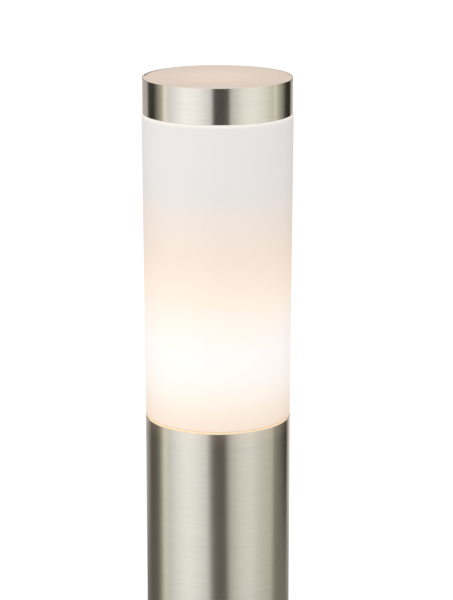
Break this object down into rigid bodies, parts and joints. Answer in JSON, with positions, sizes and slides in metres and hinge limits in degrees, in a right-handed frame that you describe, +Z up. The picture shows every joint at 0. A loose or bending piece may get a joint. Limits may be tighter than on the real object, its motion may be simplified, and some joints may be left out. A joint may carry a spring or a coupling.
{
  "type": "bollard light",
  "caption": "Round steel post with a tall opal light head under a flat steel cap, on a round bolt-down base flange.",
  "frame": {"origin": "centre of the base flange's underside, on the ground, on the post's axis", "axes": "+Z up along the post, front towards -Y, lock screws at the rear towards +Y"},
  "size_m": [0.12, 0.12, 0.6],
  "materials": {
    "stainless_brushed": "brushed around the post, fine grain",
    "opal_diffuser": "opal polycarbonate, satin, lit from inside",
    "white_plastic": "moulded white",
    "amber_gasket": "translucent natural silicone",
    "black_rubber": "moulded black",
    "cast_ring": "machined casting",
    "stainless_fastener": "bright stainless",
    "dark_screw": "plain stainless set screw",
    "galvanised_sheet": "zinc plated sheet",
    "porcelain": "white glazed",
    "nickelled_brass": "nickel plated brass",
    "brass": "bright brass",
    "spring_steel": "drawn wire",
    "lamp_opal": "frosted globe, lit",
    "lamp_insulator": "black vitrite",
    "tinned_contact": "tinned",
    "terminal_plastic": "ivory nylon",
    "clamp_plastic": "grey nylon",
    "lead_brown": "brown silicone",
    "lead_blue": "blue silicone",
    "lead_earth": "green and yellow silicone",
    "weld": "brushed weld bead"
  },
  "bodies": {
    "post": {"post_tube": "stainless_brushed", "neck_ring": "cast_ring", "gear_tray": "galvanised_sheet", "tray_screws": "stainless_fastener", "lampholder_body": "porcelain", "lampholder_shell": "nickelled_brass", "lampholder_terminals": "brass", "lampholder_terminal_screws": "nickelled_brass", "lampholder_screws": "stainless_fastener", "lampholder_nuts": "nickelled_brass", "contact_spring": "spring_steel", "terminal_block": "terminal_plastic", "terminal_inserts": "brass", "terminal_clamp_screws": "nickelled_brass", "terminal_fixing_screws": "stainless_fastener", "live_lead": "lead_brown", "neutral_lead": "lead_blue", "earth_lead": "lead_earth", "earth_lug": "tinned_contact", "earth_screw": "brass", "earth_nut": "brass", "cable_clamp": "clamp_plastic", "cable_clamp_screws": "stainless_fastener", "base_flange": "stainless_brushed", "base_weld": "weld", "cable_entry_seal": "black_rubber"},
    "head": {"top_cap": "stainless_brushed", "cap_stud": "stainless_fastener", "cap_gasket": "black_rubber", "diffuser_end_disc": "white_plastic", "cap_seal_washer": "black_rubber", "cap_washer": "stainless_fastener", "cap_nut": "stainless_fastener", "diffuser": "opal_diffuser", "spigot_o_ring": "black_rubber", "diffuser_gasket": "amber_gasket"},
    "lamp": {"lamp_globe": "lamp_opal", "lamp_housing": "white_plastic", "lamp_screw_cap": "nickelled_brass", "lamp_insulator": "lamp_insulator", "lamp_tip_contact": "tinned_contact"},
    "lock_screw_left": {"lock_screw_left": "dark_screw"},
    "lock_screw_right": {"lock_screw_right": "dark_screw"},
    "centre_contact": {"centre_contact": "brass"}
  },
  "joints": [
    {"name": "head_lift", "type": "slide", "parent": "post", "child": "head", "axis": [0, 0, 1], "range_m": [0, 0.2]},
    {"name": "lamp_removal", "type": "slide", "parent": "post", "child": "lamp", "axis": [0, 0, 1], "range_m": [0, 0.03]},
    {"name": "lock_screw_left_out", "type": "slide", "parent": "post", "child": "lock_screw_left", "axis": [-0.7071, 0.7071, 0], "range_m": [0, 0.0025]},
    {"name": "lock_screw_right_out", "type": "slide", "parent": "post", "child": "lock_screw_right", "axis": [0.7071, 0.7071, 0], "range_m": [0, 0.0025]},
    {"name": "contact_press", "type": "slide", "parent": "post", "child": "centre_contact", "axis": [0, 0, -1], "range_m": [0, 0.0012], "stiffness_N_per_m": 500, "deforming": ["contact_spring"]}
  ]
}
